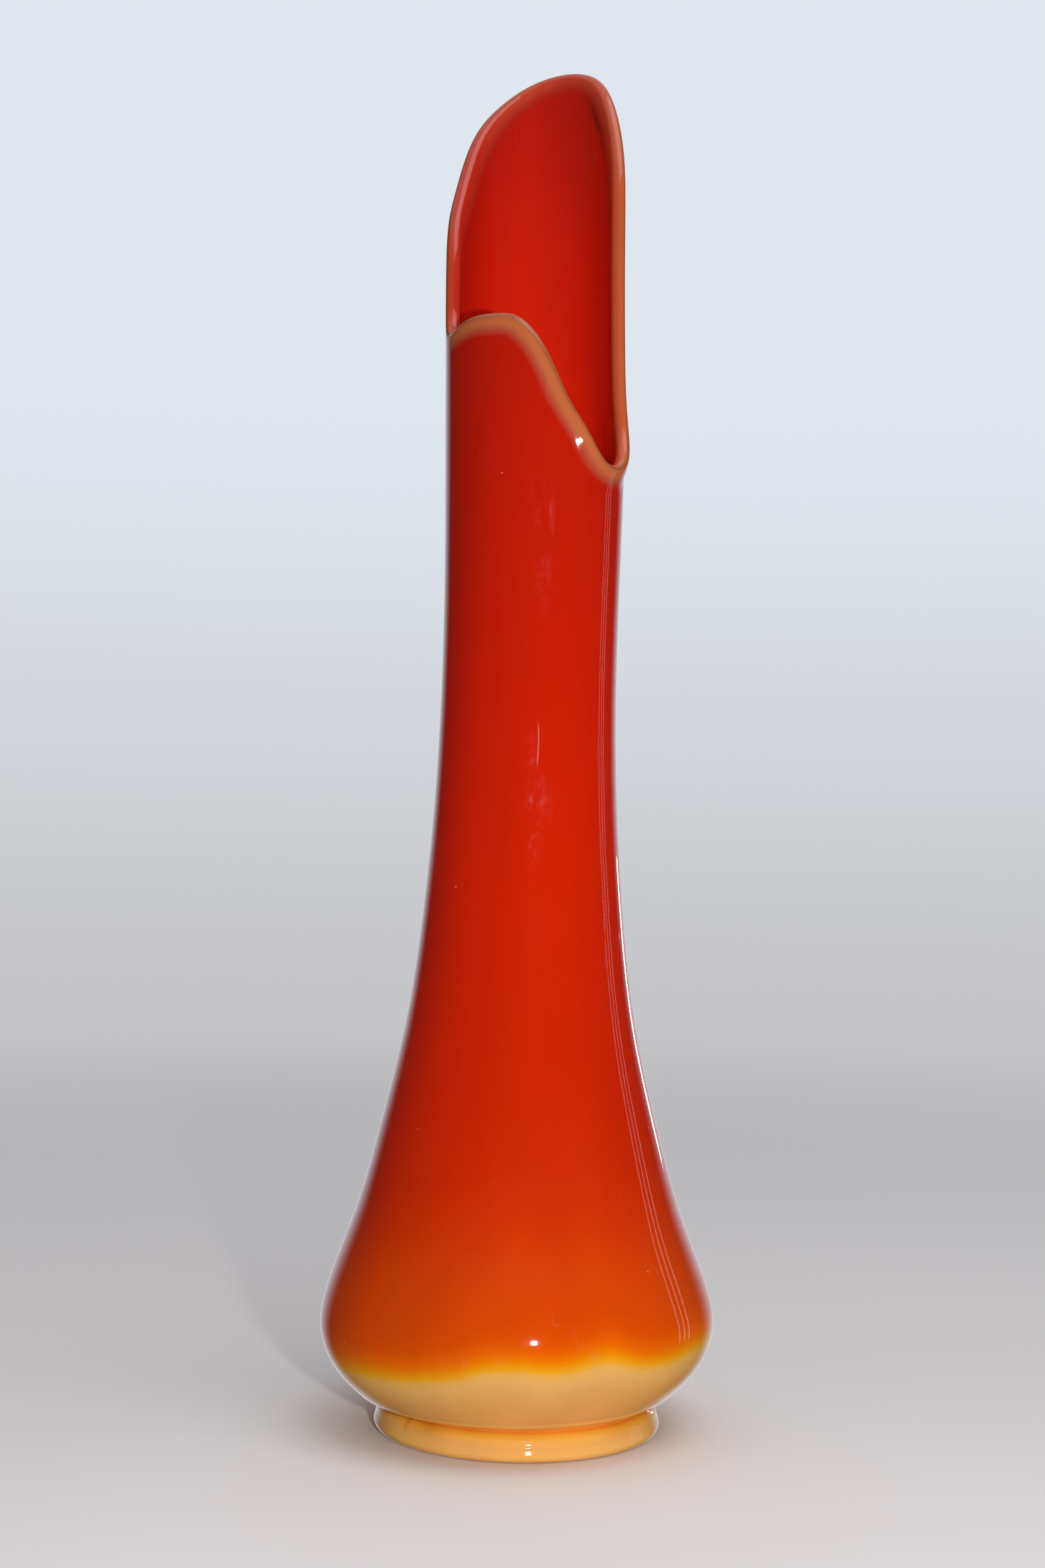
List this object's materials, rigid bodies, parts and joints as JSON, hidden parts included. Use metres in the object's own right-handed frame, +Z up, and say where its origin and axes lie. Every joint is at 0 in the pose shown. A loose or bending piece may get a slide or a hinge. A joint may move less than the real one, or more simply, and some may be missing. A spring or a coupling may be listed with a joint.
{
  "type": "footed swung glass vase",
  "caption": "Tall opaque glass vase: low ring foot, round bowl drawn up into a long neck, uneven petal-shaped open mouth.",
  "frame": {"origin": "centre of the foot's resting face, on the surface the vase stands on", "axes": "+Z up along the neck; +Y to the back, where the tall petal of the mouth stands; +X to the right seen from the front, with the notch of the mouth at front right"},
  "size_m": [0.1448, 0.1448, 0.5128],
  "materials": {
    "foot": "glossy, amber, a little cloudy",
    "floor": "glossy amber glass",
    "bowl": "glossy, cream to orange, nearly opaque",
    "neck": "glossy, deep red, nearly opaque",
    "lip": "fire-polished, tan where the red colour thins out"
  },
  "bodies": {
    "root": {"foot_ring": "foot", "floor_disc": "floor", "bowl_wall": "bowl", "neck_wall": "neck", "lip_band": "lip"}
  },
  "joints": []
}
